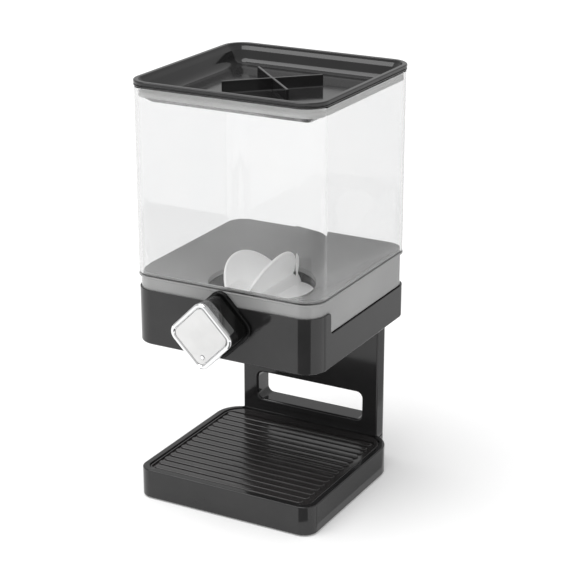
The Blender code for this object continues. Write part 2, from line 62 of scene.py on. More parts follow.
CANISTER_LOW, CANISTER_HIGH = span("canister")
LID_LOW, LID_HIGH = span("lid")
GASKET_LOW, GASKET_HIGH = span("lid_gasket")
FUNNEL_LOW, FUNNEL_HIGH = span("funnel")
HOUSING_LOW, HOUSING_HIGH = span("housing_shell")
BASE_LOW, BASE_HIGH = span("base_shell")
TRAY_LOW, TRAY_HIGH = span("ribbed_tray")
COLUMN_LOW, COLUMN_HIGH = span("column_shell")
WHEEL_HIGH = span("paddle_wheel")[1]
KNOB_LOW, KNOB_HIGH = span("knob_body")
STEM_LOW, STEM_HIGH = span("knob_stem")
COLLAR_LOW, COLLAR_HIGH = span("knob_collar")
FACE_LOW, FACE_HIGH = span("knob_face")
MARK_LOW, MARK_HIGH = span("knob_mark")

BODY_Y = (CANISTER_LOW.y + CANISTER_HIGH.y) / 2
CANISTER_HALF = (CANISTER_HIGH.x - CANISTER_LOW.x) / 2
CANISTER_CORNER = 16.0 * MM
WALL = 2.4 * MM
SKIRT_INSET = 1.5 * MM
SHOULDER = FUNNEL_HIGH.z - 3.2 * MM
LEDGE = SHOULDER + 1.0 * MM
AXLE_Z = frame["joints"][0]["pos_m"][2]
BLADE_RADIUS = 39.0 * MM
BLADE_TURN = -37  # degrees that the blades are turned about the axle at rest
GAP = 0.3 * MM  # clearance between parts that meet


# --- Mesh tools -----------------------------------------------------------------------------------


def rounded(points, steps=5, closed=False):
    """A 2-D line with its corners turned into arcs. A point is (a, b) or (a, b, radius)."""
    count, most_of_side = len(points), 0.49
    made = []
    for index, point in enumerate(points):
        here = Vector(point[:2])
        radius = point[2] if len(point) > 2 else 0.0
        if not radius or (not closed and index in (0, count - 1)):
            made.append(tuple(here))
            continue
        to_last = Vector(points[index - 1][:2]) - here
        to_next = Vector(points[(index + 1) % count][:2]) - here
        half_angle = to_last.angle(to_next) / 2
        longest = most_of_side * min(to_last.length, to_next.length)
        reach = min(radius / math.tan(half_angle), longest)
        radius = reach * math.tan(half_angle)
        middle = (to_last.normalized() + to_next.normalized()).normalized()
        centre = here + middle * radius / math.sin(half_angle)
        start = here + to_last.normalized() * reach - centre
        end = here + to_next.normalized() * reach - centre
        sweep = math.atan2(start.x * end.y - start.y * end.x, start.dot(end))
        for step in range(steps + 1):
            made.append(tuple(centre + Matrix.Rotation(sweep * step / steps, 2) @ start))
    return made


def rectangle(half_x, front, back, front_radius, back_radius, steps=12):
    """A function of the inset that gives the plan points of a rounded rectangle, anticlockwise."""
    least_bend = 0.2 * MM
    corners = (
        (1, front, 1, front_radius, -90),
        (1, back, -1, back_radius, 0),
        (-1, back, -1, back_radius, 90),
        (-1, front, 1, front_radius, 180),
    )

    def plan(inset):
        points = []
        for side, edge_y, inward, radius, start in corners:
            bend = max(radius - inset, least_bend)
            centre_x = side * (half_x - inset - bend)
            centre_y = edge_y + inward * (inset + bend)
            for step in range(steps + 1):
                angle = math.radians(start + 90 * step / steps)
                points.append((centre_x + bend * math.cos(angle), centre_y + bend * math.sin(angle)))
        return points

    return plan


def square(half, radius, steps=12):
    """The plan of a rounded square about the canister's upright line."""
    return rectangle(half, BODY_Y - half, BODY_Y + half, radius, radius, steps)


def skin(name, rings, closed=False, matrix=None):
    """An object that joins equal rings of points in turn, with its ends capped or joined."""
    shape = bmesh.new()
    loops = [[shape.verts.new(point) for point in ring] for ring in rings]
    pairs = list(zip(loops, loops[1:]))
    if closed:
        pairs.append((loops[-1], loops[0]))
    for first, second in pairs:
        for index in range(len(first)):
            after = (index + 1) % len(first)
            shape.faces.new((first[index], first[after], second[after], second[index]))
    if not closed:
        shape.faces.new(loops[0])
        shape.faces.new(loops[-1])
    bmesh.ops.recalc_face_normals(shape, faces=shape.faces)
    if matrix is not None:
        shape.transform(matrix)
    return from_shape(name, shape)


def from_shape(name, shape):
    """An object that holds the shape, linked to the scene."""
    mesh = bpy.data.meshes.new(name)
    shape.to_mesh(mesh)
    shape.free()
    thing = bpy.data.objects.new(name, mesh)
    bpy.context.scene.collection.objects.link(thing)
    return thing


def moulding(name, plan, profile, closed=False, matrix=None):
    """A profile of (inset, height) carried round a plan."""
    rings = [[(x, y, height) for x, y in plan(inset)] for inset, height in profile]
    return skin(name, rings, closed, matrix)


def turned(name, profile, centre=(0, 0, 0), along_y=False, steps=96, closed=False):
    """A profile of (radius, height) turned about the upright through centre, or about a line along Y."""
    turn = Matrix.Rotation(-math.pi / 2, 4, "X") if along_y else Matrix()
    angles = [2 * math.pi * step / steps for step in range(steps)]
    rings = [[(r * math.cos(a), r * math.sin(a), h) for a in angles] for r, h in profile]
    return skin(name, rings, closed, Matrix.Translation(centre) @ turn)


def box(name, low, high):
    """A block between two opposite corners."""
    size = [b - a for a, b in zip(low, high)]
    middle = [(a + b) / 2 for a, b in zip(low, high)]
    shape = bmesh.new()
    matrix = Matrix.Translation(middle) @ Matrix.Diagonal((*size, 1))
    bmesh.ops.create_cube(shape, size=1, matrix=matrix)
    return from_shape(name, shape)


def apply_modifiers(thing):
    """Keeps what the modifiers make and drops them."""
    graph = bpy.context.evaluated_depsgraph_get()
    mesh = bpy.data.meshes.new_from_object(thing.evaluated_get(graph))
    thing.modifiers.clear()
    thing.data = mesh


def combine(target, operation, *others):
    """target cut by the others or joined to them, which are then removed."""
    for other in others:
        modifier = target.modifiers.new(other.name, "BOOLEAN")
        modifier.operation = operation
        modifier.object = other
        modifier.solver = "EXACT"
    apply_modifiers(target)
    for other in others:
        bpy.data.objects.remove(other)


def cut(target, *others):
    combine(target, "DIFFERENCE", *others)


def join(target, *others):
    combine(target, "UNION", *others)


def bevel(thing, width, segments=3, angle=40):
    """Rounds the edges sharper than the angle."""
    modifier = thing.modifiers.new("edges", "BEVEL")
    modifier.width = width
    modifier.segments = segments
    modifier.limit_method = "ANGLE"
    modifier.angle_limit = math.radians(angle)
    modifier.use_clamp_overlap = False
    apply_modifiers(thing)


def smooth(thing, angle=35):
    """Smooth shading that keeps flat faces flat."""
    thing.data.shade_smooth()
    thing.data.set_sharp_from_angle(angle=math.radians(angle))
    weighted = thing.modifiers.new("weighted", "WEIGHTED_NORMAL")
    weighted.keep_sharp = True


def two_tone(thing, in_second, first, second):
    """Gives the thing two materials: the second where in_second is true of a face."""
    thing.data.materials.clear()
    thing.data.materials.append(first)
    thing.data.materials.append(second)
    for face in thing.data.polygons:
        face.material_index = int(in_second(face))


def finish_piece(thing, body, slot, look, *nodes, angle=35):
    """Shades the piece, gives it its material unless it has one, and ties it to the frame."""
    smooth(thing, angle)
    if not thing.data.materials:
        thing.data.materials.append(look)
    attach(thing, body)
    if nodes:
        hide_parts(*nodes)


# --- Materials ------------------------------------------------------------------------------------

NOISE_LOW, NOISE_HIGH = 0.3, 0.7


class Look:
    """A Principled material with object-space noise for its fine variation."""

    def __init__(self, name, **constants):
        self.material = bpy.data.materials.new(name)
        self.material.use_nodes = True
        self.tree = self.material.node_tree
        self.shader = self.tree.nodes["Principled BSDF"]
        for key, value in constants.items():
            self.shader.inputs[key.replace("_", " ")].default_value = value
        self.place = self.tree.nodes.new("ShaderNodeTexCoord")

    def noise(self, scale, detail=3.0, stretch=None):
        node = self.tree.nodes.new("ShaderNodeTexNoise")
        node.inputs["Scale"].default_value = scale
        node.inputs["Detail"].default_value = detail
        source = self.place.outputs["Object"]
        if stretch:
            mapping = self.tree.nodes.new("ShaderNodeMapping")
            mapping.inputs["Scale"].default_value = stretch
            self.tree.links.new(source, mapping.inputs["Vector"])
            source = mapping.outputs["Vector"]
        self.tree.links.new(source, node.inputs["Vector"])
        return node.outputs["Fac"]

    def spread(self, value, low, high):
        """Noise, which lies round 0.5, spread over low to high."""
        node = self.tree.nodes.new("ShaderNodeMapRange")
        node.inputs["From Min"].default_value = NOISE_LOW
        node.inputs["From Max"].default_value = NOISE_HIGH
        node.inputs["To Min"].default_value = low
        node.inputs["To Max"].default_value = high
        self.tree.links.new(value, node.inputs["Value"])
        return node.outputs["Result"]

    def colour(self, value, first, second):
        node = self.tree.nodes.new("ShaderNodeValToRGB")
        node.color_ramp.elements[0].position = NOISE_LOW
        node.color_ramp.elements[1].position = NOISE_HIGH
        node.color_ramp.elements[0].color = (*first, 1)
        node.color_ramp.elements[1].color = (*second, 1)
        self.tree.links.new(value, node.inputs["Fac"])
        self.tree.links.new(node.outputs["Color"], self.shader.inputs["Base Color"])

    def roughness(self, value, low, high):
        self.tree.links.new(self.spread(value, low, high), self.shader.inputs["Roughness"])

    def bump(self, value, strength, distance):
        node = self.tree.nodes.new("ShaderNodeBump")
        node.inputs["Strength"].default_value = strength
        node.inputs["Distance"].default_value = distance
        self.tree.links.new(value, node.inputs["Height"])
        self.tree.links.new(node.outputs["Normal"], self.shader.inputs["Normal"])


def gloss_black():
    look = Look("gloss_black_plastic", IOR=1.5)
    look.colour(look.noise(38, 4), (0.016, 0.0158, 0.0162), (0.022, 0.0215, 0.0218))
    look.roughness(look.noise(55, 5), 0.07, 0.13)
    look.bump(look.noise(420, 2), 0.03, 0.0002)
    return look.material


def ribbed_black():
    look = Look("ribbed_black_plastic", IOR=1.6)
    look.colour(look.noise(45, 4), (0.028, 0.0262, 0.0262), (0.038, 0.0352, 0.0352))
    look.roughness(look.noise(60, 5), 0.12, 0.2)
    look.bump(look.noise(900, 2), 0.06, 0.0002)
    return look.material


def clear_plastic():
    """Clear plastic that absorbs enough light for its walls to show against white."""
    look = Look("clear_plastic", Transmission_Weight=1.0, IOR=1.49)
    look.colour(look.noise(20, 2), (0.985, 0.988, 0.99), (1.0, 1.0, 1.0))
    look.roughness(look.noise(40, 3), 0.0, 0.012)
    depth = look.tree.nodes.new("ShaderNodeVolumeAbsorption")
    depth.inputs["Color"].default_value = (0.1, 0.1, 0.1, 1)
    depth.inputs["Density"].default_value = 51.0
    look.tree.links.new(depth.outputs["Volume"], look.tree.nodes["Material Output"].inputs["Volume"])
    return look.material


def smoke_plastic():
    look = Look("smoke_plastic", IOR=1.49, Transmission_Weight=0.3)
    look.colour(look.noise(16, 3), (0.42, 0.42, 0.418), (0.47, 0.47, 0.468))
    look.roughness(look.noise(45, 3), 0.10, 0.17)
    return look.material


def white_silicone():
    """Translucent silicone with painted light: a small glow (emission) that brightens the blades though they are
    no lamp.
    """
    look = Look("white_silicone", IOR=1.43)
    look.shader.inputs["Subsurface Weight"].default_value = 0.85
    look.shader.inputs["Subsurface Radius"].default_value = (1, 1, 1)
    look.shader.inputs["Subsurface Scale"].default_value = 0.003
    # Painted light: this emission makes the blades glow brighter.
    look.shader.inputs["Emission Color"].default_value = (1, 1, 1, 1)
    look.shader.inputs["Emission Strength"].default_value = 0.16
    look.colour(look.noise(60, 4), (0.86, 0.86, 0.855), (0.92, 0.92, 0.915))
    look.roughness(look.noise(90, 4), 0.36, 0.5)
    look.bump(look.noise(700, 2), 0.08, 0.0003)
    return look.material


def grey_silicone():
    look = Look("grey_silicone", IOR=1.43)
    look.colour(look.noise(60, 4), (0.82, 0.82, 0.81), (0.90, 0.90, 0.89))
    look.roughness(look.noise(90, 4), 0.3, 0.45)
    look.bump(look.noise(700, 2), 0.06, 0.0002)
    return look.material


def chrome():
    look = Look("chrome_plate", Metallic=1.0)
    look.colour(look.noise(30, 3), (0.84, 0.845, 0.85), (0.9, 0.9, 0.905))
    look.roughness(look.noise(70, 4), 0.035, 0.075)
    return look.material


def shade_painted_black():
    """The knob's black plastic painted darker and less reflective: painted shade for its dark reflections."""
    look = Look("shade_painted_black", IOR=1.3)
    look.colour(look.noise(40, 3), (0.003, 0.003, 0.003), (0.006, 0.006, 0.006))
    look.roughness(look.noise(70, 4), 0.16, 0.24)
    return look.material


def shaded_chrome():
    """Chrome painted dark, a painted reflection of something dark, for the knob's sides."""
    look = Look("shaded_chrome", Metallic=1.0)
    look.colour(look.noise(30, 3), (0.26, 0.26, 0.262), (0.30, 0.30, 0.302))
    look.roughness(look.noise(70, 4), 0.035, 0.075)
    return look.material


def satin():
    look = Look("satin_plate", Metallic=0.85)
    look.colour(look.noise(50, 4), (0.73, 0.73, 0.725), (0.79, 0.79, 0.785))
    look.roughness(look.noise(120, 4), 0.3, 0.42)
    look.bump(look.noise(1500, 2), 0.08, 0.0001)
    return look.material


def steel():
    look = Look("zinc_steel", Metallic=1.0)
    look.colour(look.noise(160, 4), (0.5, 0.5, 0.51), (0.64, 0.64, 0.65))
    look.roughness(look.noise(300, 4, (1, 8, 1)), 0.22, 0.38)
    return look.material


def bearing():
    look = Look("bearing_plastic", IOR=1.48)
    look.colour(look.noise(90, 3), (0.62, 0.61, 0.58), (0.72, 0.71, 0.68))
    look.roughness(look.noise(150, 3), 0.35, 0.5)
    return look.material


def rubber():
    look = Look("foot_rubber", IOR=1.5)
    look.colour(look.noise(200, 4), (0.018, 0.018, 0.018), (0.032, 0.032, 0.031))
    look.roughness(look.noise(260, 4), 0.7, 0.9)
    look.bump(look.noise(1200, 3), 0.3, 0.0003)
    return look.material


BLACK = gloss_black()
RIBBED = ribbed_black()
CLEAR = clear_plastic()
SMOKE = smoke_plastic()
PAINTED_GLOW_SILICONE = white_silicone()
GASKET = grey_silicone()
CHROME = chrome()
SHADED_CHROME = shaded_chrome()
SHADE_PAINTED_BLACK = shade_painted_black()
SATIN = satin()
STEEL = steel()
BEARING = bearing()
RUBBER = rubber()


# --- Canister, funnel and lid ---------------------------------------------------------------------


def make_canister():
    """Clear walls over a smoke skirt, with a bead between them and an arch for the drive shaft."""
    low, top = CANISTER_LOW.z, CANISTER_HIGH.z
    inner_skirt, bead = SKIRT_INSET + WALL, 0.3 * MM
    arch_radius, arch_front, arch_back = 13 * MM, -64 * MM, -50 * MM
    profile = rounded(
        [
            (SKIRT_INSET, low, 0.4 * MM),
            (SKIRT_INSET, SHOULDER - 1.0 * MM, 0.4 * MM),
            (-bead, SHOULDER - 0.6 * MM, 0.6 * MM),
            (-bead, SHOULDER + 0.5 * MM, 0.7 * MM),
            (0, SHOULDER + 1.0 * MM),
            (0, top, 0.9 * MM),
            (WALL, top, 0.9 * MM),
            (WALL, LEDGE, 0.5 * MM),
            (inner_skirt, LEDGE, 0.3 * MM),
            (inner_skirt, low, 0.4 * MM),
        ],
        closed=True,
    )
    plan = square(CANISTER_HALF, CANISTER_CORNER, steps=20)
    body = moulding("canister_body", plan, profile, closed=True)
    body.visible_shadow = False
    two_tone(body, lambda face: face.center.z < LEDGE + 0.1 * MM, CLEAR, SMOKE)
    arch_ends = [(arch_radius, arch_front), (arch_radius, arch_back)]
    arch = turned("skirt_arch", arch_ends, (0, 0, AXLE_Z), True, 64)
    slot_low, slot_high = (-arch_radius, arch_front, low - 10 * MM), (arch_radius, arch_back, AXLE_Z)
    slot = box("skirt_slot", slot_low, slot_high)
    for cutter in (arch, slot):
        two_tone(cutter, lambda face: True, CLEAR, SMOKE)
    cut(body, arch, slot)
    finish_piece(body, "canister", "clear_plastic", CLEAR, "canister")


def square_to_round(half, radius, round_radius, share, count):
    """Plan points about the canister's line that change from a rounded square to the throat's circle."""
    points = []
    for index in range(count):
        angle = 2 * math.pi * (index + 0.5) / count
        direction = Vector((math.cos(angle), math.sin(angle)))
        inner = half - radius
        reach = max(abs(direction.x), abs(direction.y))
        edge = direction * (half / reach)
        corner = Vector((math.copysign(inner, edge.x), math.copysign(inner, edge.y)))
        if abs(edge.x) > inner and abs(edge.y) > inner:
            along = direction.dot(corner)
            off = corner.length_squared - radius**2
            edge = direction * (along + math.sqrt(max(along**2 - off, 0)))
        outer = Vector((edge.x, edge.y + BODY_Y))
        throat = Vector((round_radius * math.cos(angle), round_radius * math.sin(angle)))
        points.append(outer.lerp(throat, share))
    return points


def make_funnel():
    """A sloping floor that runs from the canister's walls to the round throat."""
    count, steps = 192, 14
    half = (FUNNEL_HIGH.x - FUNNEL_LOW.x) / 2
    corner = CANISTER_CORNER - WALL
    thick, edge = 2.0 * MM, 0.3 * MM
    throat = 40.2 * MM
    throat_out = throat + thick
    rim, bottom = FUNNEL_HIGH.z, FUNNEL_LOW.z
    lip_top = bottom + 4.0 * MM

    def ring(share, height, inset=0.0, round_radius=throat):
        plan = square_to_round(half - inset, corner - inset, round_radius, share, count)
        return [(x, y, height) for x, y in plan]

    upper = [ring(0, rim - 0.4 * MM), ring(0, rim, 0.4 * MM), ring(0, rim, 1.0 * MM)]
    lower = [ring(0, rim - 1.9 * MM)]
    for step in range(1, steps + 1):
        share = step / steps
        drop = share**0.92
        height = rim + (lip_top - rim) * drop
        eased = share * share * (3 - 2 * share) * 0.25 + share * 0.75
        upper.append(ring(eased, height, 1.0 * MM * (1 - eased)))
        lower.append(ring(eased, height - thick, SKIRT_INSET * (1 - eased), throat_out))
    upper += [ring(1, lip_top - 1.2 * MM), ring(1, bottom + edge), ring(1, bottom, 0, throat + edge)]
    lower += [ring(1, bottom + edge, 0, throat_out), ring(1, bottom, 0, throat_out - edge)]
    funnel = skin("funnel_tray", upper + lower[::-1], closed=True)
    finish_piece(funnel, "canister", "smoke_plastic", SMOKE, "funnel", angle=50)


def make_lid():
    """A dished cover whose plug holds the seal, with a cross to grip it by."""
    half = (LID_HIGH.x - LID_LOW.x) / 2
    top, low = LID_HIGH.z, LID_LOW.z
    rim_low, plug_low, floor = CANISTER_HIGH.z + GAP, GASKET_LOW.z - GAP, low + 2.0 * MM
    plug, groove, middle = 5.0 * MM, 6.0 * MM, 20 * MM
    tongue_low, tongue_high = GASKET_LOW.z + 1.9 * MM, GASKET_LOW.z + 4.5 * MM
    profile = rounded(
        [
            (half - middle, floor),
            (10.4 * MM, floor, 8.0 * MM),
            (6.6 * MM, top - 4.6 * MM, 1.6 * MM),
            (4.4 * MM, top - 2.0 * MM, 0.8 * MM),
            (3.6 * MM, top, 0.7 * MM),
            (0.0, top, 1.0 * MM),
            (0.0, top - 2.1 * MM, 0.4 * MM),
            (0.9 * MM, top - 2.4 * MM, 0.2 * MM),
            (0.9 * MM, top - 3.0 * MM, 0.2 * MM),
            (0.0, top - 3.2 * MM, 0.5 * MM),
            (0.2 * MM, rim_low, 0.4 * MM),
            (plug, rim_low, 0.3 * MM),
            (plug, tongue_high, 0.1 * MM),
            (groove, tongue_high, 0.1 * MM),
            (groove, tongue_low, 0.1 * MM),
            (plug, tongue_low, 0.1 * MM),
            (plug, plug_low, 0.4 * MM),
            (13.0 * MM, low, 2.5 * MM),
            (half - middle, low),
        ],
        steps=7,
    )
    lid = moulding("lid_cover", square(half, 16.6 * MM, steps=20), profile)
    grips = []
    length, half_thick, grip_top, foot = 37.2 * MM, 1.0 * MM, low + 11.0 * MM, 0.8 * MM
    plan = rectangle(length, -half_thick, half_thick, 0.5 * MM, 0.5 * MM, steps=4)
    outline = rounded(
        [
            (-foot, floor - 0.6 * MM),
            (-foot, floor),
            (0, floor + foot, 0.6 * MM),
            (0, grip_top, 0.45 * MM),
            (0.85 * MM, grip_top),
        ],
        steps=4,
    )
    for turn in (-45, 45):
        matrix = Matrix.Translation((0, BODY_Y, 0)) @ Matrix.Rotation(math.radians(turn), 4, "Z")
        grips.append(moulding(f"grip_{turn}", plan, outline, matrix=matrix))
    join(lid, *grips)
    finish_piece(lid, "lid", "black_plastic", BLACK, "lid")


def make_gasket():
    """A seal with fine ribs outside and a tongue inside."""
    half = (GASKET_HIGH.x - GASKET_LOW.x) / 2
    low, top = GASKET_LOW.z, GASKET_HIGH.z
    back, tongue = 1.4 * MM, 2.4 * MM
    tongue_low, tongue_high = low + 2.2 * MM, low + 4.2 * MM
    ribs, rib_depth, steps = 3, 0.5 * MM, 10
    pitch = (top - low) / ribs
    profile = [(back, tongue_low), (back, low), (rib_depth, low)]
    for rib in range(ribs):
        for step in range(1, steps):
            swell = math.sin(math.pi * step / steps) ** 0.6
            profile.append((rib_depth * (1 - swell), low + (rib + step / steps) * pitch))
    profile += [(rib_depth, top), (back, top)]
    profile += [(back, tongue_high), (tongue, tongue_high), (tongue, tongue_low)]
    gasket = moulding("lid_seal", square(half, 13.3 * MM, steps=16), profile, closed=True)
    finish_piece(gasket, "lid", "grey_silicone", GASKET, "lid_gasket", angle=60)


# --- Housing --------------------------------------------------------------------------------------


def make_housing():
    """A rounded tub whose front wall stands higher than its sides and back."""
    half, front, back = HOUSING_HIGH.x, HOUSING_LOW.y, HOUSING_HIGH.y
    low, top = HOUSING_LOW.z, HOUSING_HIGH.z
    side_top, notch_y = top - 16.5 * MM, front + 22.8 * MM
    wall, fascia_wall, floor, corner, far = 2.0 * MM, 0.9 * MM, low + 2.4 * MM, 16.0 * MM, 40 * MM
    outlet_radius, boss_radius, bush_radius, step_bend = 37.5 * MM, 11.8 * MM, 8.3 * MM, 3.0 * MM
    plan = rectangle(half, front, back, corner, corner, steps=20)
    outside = rounded([(far, low), (0, low, 1.5 * MM), (0, top + far)], steps=8)
    shell = moulding("housing_body", plan, outside + [(far, top + far)])
    inside = [
        (far, floor),
        (wall, floor),
        (wall, side_top - GAP),
        (fascia_wall, side_top - GAP),
        (fascia_wall, top + 2 * far),
        (far, top + 2 * far),
    ]
    outlet = turned("outlet_hole", [(outlet_radius, low - 5 * MM), (outlet_radius, low + 5 * MM)])
    cut(shell, moulding("housing_hollow", plan, inside), outlet)
    step = rounded(
        [
            (front - far, top),
            (notch_y, top, step_bend),
            (notch_y, side_top, step_bend),
            (back + far, side_top),
            (back + far, top + 2 * far),
            (front - far, top + 2 * far),
        ],
        steps=8,
        closed=True,
    )
    cut(shell, skin("housing_step", [[(x, y, z) for y, z in step] for x in (-half - far, half + far)]))
    axle = (0, 0, AXLE_Z)
    boss_ends = [(boss_radius, front + fascia_wall / 2), (boss_radius, front + wall)]
    join(shell, turned("bush_boss", boss_ends, axle, True, 64))
    bush_ends = [(bush_radius, front - far), (bush_radius, front + far / 4)]
    cut(shell, turned("bush_hole", bush_ends, axle, True, 48))
    bevel(shell, 0.35 * MM)
    finish_piece(shell, "stand", "black_plastic", BLACK, "housing_shell")


# --- Base, tray and column ------------------------------------------------------------------------


def make_base():
    """A hollow plate with a well for the tray, and a block behind it that carries the column."""
    margin, wall, middle, block_middle = 5.0 * MM, 2.5 * MM, 40 * MM, 15 * MM
    front_bend, back_bend, foot_bend, above = 11 * MM, 22 * MM, 0.7 * MM, 2 * MM
    half, front, back = BASE_HIGH.x, BASE_LOW.y, COLUMN_LOW.y + 3.0 * MM
    low, top = BASE_LOW.z, BASE_HIGH.z
    seat_half, seat_top = COLUMN_HIGH.x + GAP, COLUMN_LOW.z - GAP
    ceiling, well_floor = low + 15.0 * MM, TRAY_LOW.z - GAP

    plan = rectangle(half, front, back, front_bend, back_bend, steps=16)
    plate = rounded([(middle, low), (0, low, foot_bend), (0, top, 0.9 * MM), (middle, top)])
    base = moulding("base_body", plan, plate)
    block_plan = rectangle(COLUMN_HIGH.x, 50 * MM, COLUMN_HIGH.y, 1 * MM, 8.5 * MM)
    block = rounded(
        [
            (block_middle, low),
            (0, low, foot_bend),
            (0, seat_top, 0.5 * MM),
            (block_middle, seat_top),
        ]
    )
    join(base, moulding("base_block", block_plan, block))

    well_back = COLUMN_LOW.y - GAP + margin
    well_plan = rectangle(half, front, well_back, front_bend, back_bend, steps=16)
    flare = 0.6 * MM
    well = [(middle, well_floor), (margin, well_floor), (margin, top - flare)]
    for step in range(1, 6):
        angle = math.radians(16 * step)
        well.append((margin - flare * (1 - math.cos(angle)), top - flare + flare * math.sin(angle)))
    mouth = margin - flare - 0.3 * MM
    well += [(mouth, top + 0.15 * MM), (mouth, top + above), (middle, top + above)]
    cut(base, moulding("base_well", well_plan, well))
    seat_low, seat_high = (-seat_half, 66 * MM, seat_top), (seat_half, 92 * MM, top + above)
    cut(base, box("base_seat", seat_low, seat_high))

    below = -1 * MM
    hollow_plan = rectangle(half, front, back, front_bend, back_bend)
    hollows = (("base_hollow", hollow_plan, middle), ("block_hollow", block_plan, block_middle))
    for name, outline, far in hollows:
        under = [(far, below), (wall, below), (wall, ceiling), (far, ceiling)]
        cut(base, moulding(name, outline, under))
    finish_piece(base, "stand", "black_plastic", BLACK, "base_shell")


def make_tray():
    """A plate with a sunk field that holds broad ribs with round ends."""
    low, high = TRAY_LOW, TRAY_HIGH
    depth, border, far = 1.2 * MM, 1.0 * MM, 40 * MM
    plan = rectangle(high.x, low.y, high.y, 5.5 * MM, 16.5 * MM, steps=12)
    profile = rounded([(far, low.z), (0, low.z, 0.3 * MM), (0, high.z, 0.45 * MM), (far, high.z)])
    tray = moulding("tray_plate", plan, profile)

    floor, above = high.z - depth, high.z + 2 * MM
    pitch, rib_half, left, right = 7.8 * MM, 3.0 * MM, 65.2 * MM, 62.0 * MM
    first, count = low.y + 5.4 * MM, 15
    last = first + (count - 1) * pitch
    field_back = last + rib_half + 1.6 * MM
    field_plan = rectangle(left + 1.0 * MM, low.y + border, field_back, 4.5 * MM, 6.0 * MM, steps=12)
    sink = [(far, floor), (0, floor), (0, above), (far, above)]
    cut(tray, moulding("tray_field", field_plan, sink))

    bend, rise, steps = 0.75 * MM, 0.7 * MM, 8
    crown = [(0, floor - 0.3 * MM), (0, high.z - bend)]
    for step in range(1, steps + 1):
        angle = math.radians(80 * step / steps)
        crown.append((bend * (1 - math.cos(angle)), high.z - bend + rise * math.sin(angle)))
    crown.append((rib_half - 0.25 * MM, high.z))
    shift = Matrix.Translation(((right - left) / 2, 0, 0))
    ribs = []
    for number in range(count):
        y = first + number * pitch
        trim = 1.2 * MM if number == 0 else 0.0
        rib_plan = rectangle((left + right) / 2 - trim, y - rib_half, y + rib_half, rib_half, rib_half, 8)
        ribs.append(moulding(f"rib_{number}", rib_plan, crown, matrix=shift))
    join(tray, *ribs)
    finish_piece(tray, "tray", "black_plastic", RIBBED, "ribbed_tray")


def window_bar(name, profile):
    """A rounded bar along Y through the window, from a profile of (inset, y)."""
    half_x, low, high, corner = 45.9 * MM, 33.7 * MM, 56.5 * MM, 5.0 * MM
    half_z = (high - low) / 2
    plan = rectangle(half_x, -half_z, half_z, corner, corner, steps=10)
    matrix = Matrix.Translation((0, 0, (high + low) / 2)) @ Matrix.Rotation(-math.pi / 2, 4, "X")
    return moulding(name, plan, profile, matrix=matrix)


def flared(near, far, flare):
    """The profile of a hole from near to far that widens in a curve at each end."""
    past = 2 * MM
    arc = [math.radians(16 * step) for step in range(6)]
    profile = [(-flare, near - past)]
    profile += [(-flare * (1 - math.cos(a)), near + flare - flare * math.sin(a)) for a in arc[::-1]]
    profile += [(-flare * (1 - math.cos(a)), far - flare + flare * math.sin(a)) for a in arc]
    return profile + [(-flare, far + past)]


def make_column():
    """A hollow upright that is open behind, with a window through it and a bead at its foot."""
    low, high = COLUMN_LOW, COLUMN_HIGH
    wall, middle, bend = 2.4 * MM, 7 * MM, 0.5 * MM
    floor, ceiling = low.z + wall, high.z - wall
    plan = rectangle(high.x, low.y, high.y, 1.2 * MM, 8.5 * MM, steps=10)
    profile = rounded([(middle, low.z), (0, low.z, bend), (0, high.z, bend), (middle, high.z)])
    column = moulding("column_body", plan, profile)
    hollow_plan = rectangle(high.x - wall, low.y + wall, high.y - wall, 0.5 * MM, 6.1 * MM)
    hollow_profile = [(5 * MM, floor), (0, floor), (0, ceiling), (5 * MM, ceiling)]
    hollow = moulding("column_hollow", hollow_plan, hollow_profile)
    mouth_half, mouth_front, mouth_back = 50.5 * MM, 83 * MM, 92 * MM
    mouth = box("column_mouth", (-mouth_half, mouth_front, floor), (mouth_half, mouth_back, ceiling))
    cut(column, hollow, mouth)

    frame_ends = [(-wall, low.y + 1 * MM), (-wall, high.y - 0.1 * MM)]
    join(column, window_bar("window_frame", frame_ends))
    cut(column, window_bar("window_hole", flared(low.y, high.y, 1.7 * MM)))

    bead_bend, bead_low, bead_top = 0.4 * MM, low.z + 0.4 * MM, BASE_HIGH.z + 0.6 * MM
    bead_front, bead_back = low.y - 0.45 * MM, low.y + 2.0 * MM
    bead_plan = rectangle(high.x - 0.3 * MM, bead_front, bead_back, 0.2 * MM, 0.2 * MM, 3)
    bead = rounded([(bead_bend, bead_low), (0, bead_low), (0, bead_top, bead_bend), (bead_bend, bead_top)])
    join(column, moulding("foot_bead", bead_plan, bead))
    finish_piece(column, "stand", "black_plastic", BLACK, "column_shell")


# --- Wheel and knob -------------------------------------------------------------------------------


